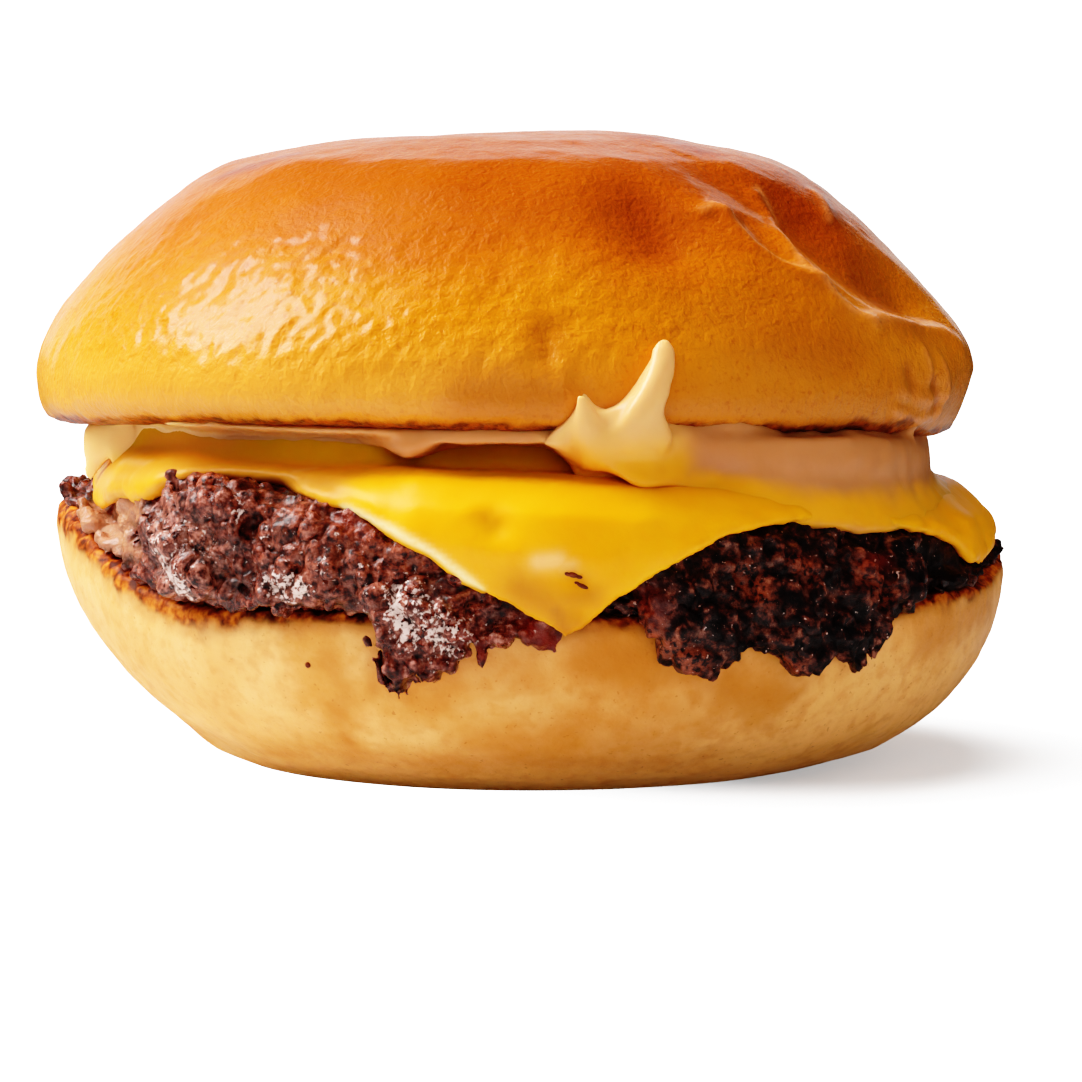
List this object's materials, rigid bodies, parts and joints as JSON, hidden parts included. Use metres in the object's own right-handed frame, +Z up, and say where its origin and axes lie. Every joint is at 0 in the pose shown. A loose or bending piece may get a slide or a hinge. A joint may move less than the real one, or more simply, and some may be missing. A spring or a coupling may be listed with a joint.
{
  "type": "cheeseburger",
  "caption": "Cheeseburger with a glossy domed bun crown, burger sauce splashing up the crown, a melted cheese slice, a crumbly seared beef patty and a bun heel.",
  "frame": {"origin": "centre of the bounding box's bottom face, on the surface that the bun heel rests on", "axes": "+Z up through the stack, +X to the right seen from the front, and -Y towards the front, where the cheese corner hangs down"},
  "size_m": [0.1052, 0.1094, 0.0679],
  "materials": {
    "crown": "glossy egg-washed crust",
    "sauce": "satin, slightly translucent sauce",
    "cheese": "satin melted cheese",
    "patty": "rough, greasy seared beef",
    "heel": "soft matt crust"
  },
  "bodies": {
    "root": {"bun_heel": "heel", "patty": "patty", "cheese": "cheese", "sauce": "sauce", "bun_crown": "crown"}
  },
  "joints": []
}
